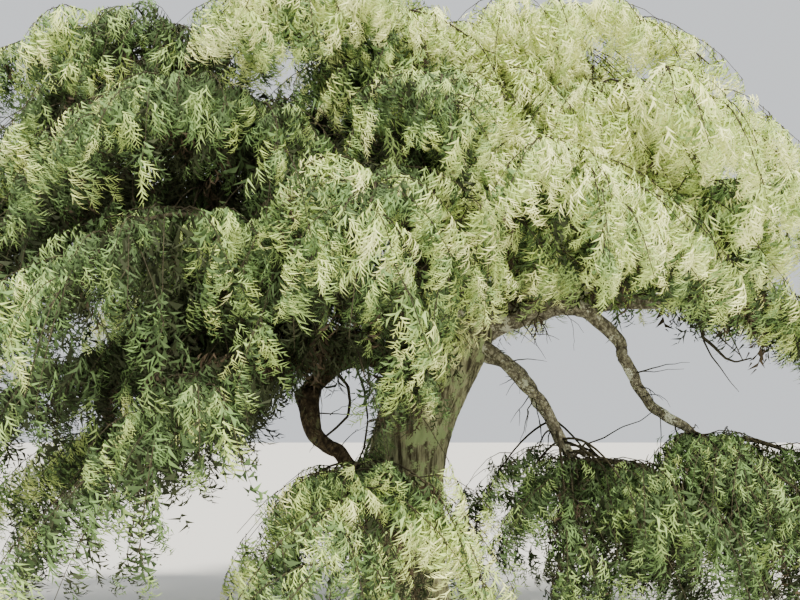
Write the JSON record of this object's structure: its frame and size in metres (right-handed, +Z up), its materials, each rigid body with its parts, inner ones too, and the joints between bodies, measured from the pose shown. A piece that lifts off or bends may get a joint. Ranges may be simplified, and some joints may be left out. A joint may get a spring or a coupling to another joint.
{
  "type": "weeping hemlock tree",
  "caption": "Weeping hemlock: short leaning trunk that forks low, crooked arching limbs and a broad dome of foliage hanging in masses of drooping sprays.",
  "frame": {"origin": "middle of the flat cut under the trunk, level with the ground", "axes": "+Z up along the foot of the trunk, -Y towards the viewer of the picture, +X to the viewer's right"},
  "size_m": [8.2472, 7.1841, 4.9744],
  "materials": {
    "bark": "rough furrowed bark",
    "foliage": "matt needles"
  },
  "bodies": {
    "root": {"arch_fall": "bark", "arch_rise": "bark", "back_left_limb": "bark", "back_limb": "bark", "back_right_limb": "bark", "crook_foot": "bark", "crook_top": "bark", "foliage_arch_fall": "foliage", "foliage_back": "foliage", "foliage_back_left": "foliage", "foliage_back_right": "foliage", "foliage_crook_foot": "foliage", "foliage_front": "foliage", "foliage_front_left": "foliage", "foliage_front_right": "foliage", "foliage_leader": "foliage", "foliage_left": "foliage", "foliage_low_back": "foliage", "foliage_low_back_left": "foliage", "foliage_low_back_right": "foliage", "foliage_low_front_left": "foliage", "foliage_low_left": "foliage", "foliage_low_right": "foliage", "foliage_right": "foliage", "foliage_side_right": "foliage", "foliage_top_front": "foliage", "foliage_top_right": "foliage", "foliage_trunk_tuft": "foliage", "foliage_upper_back": "foliage", "foliage_upper_back_left": "foliage", "foliage_upper_back_right": "foliage", "foliage_upper_front": "foliage", "foliage_upper_front_left": "foliage", "foliage_upper_front_right": "foliage", "foliage_upper_left": "foliage", "foliage_upper_right": "foliage", "front_left_limb": "bark", "front_limb": "bark", "front_right_limb": "bark", "leader": "bark", "left_limb": "bark", "low_back_left_limb": "bark", "low_back_limb": "bark", "low_back_right_limb": "bark", "low_front_left_limb": "bark", "low_left_limb": "bark", "low_right_limb": "bark", "right_limb": "bark", "side_right_bough": "bark", "top_front_bough": "bark", "top_right_bough": "bark", "trunk": "bark", "upper_back_bough": "bark", "upper_back_left_bough": "bark", "upper_back_right_bough": "bark", "upper_front_bough": "bark", "upper_front_left_bough": "bark", "upper_front_right_bough": "bark", "upper_left_bough": "bark", "upper_right_bough": "bark"}
  },
  "joints": []
}
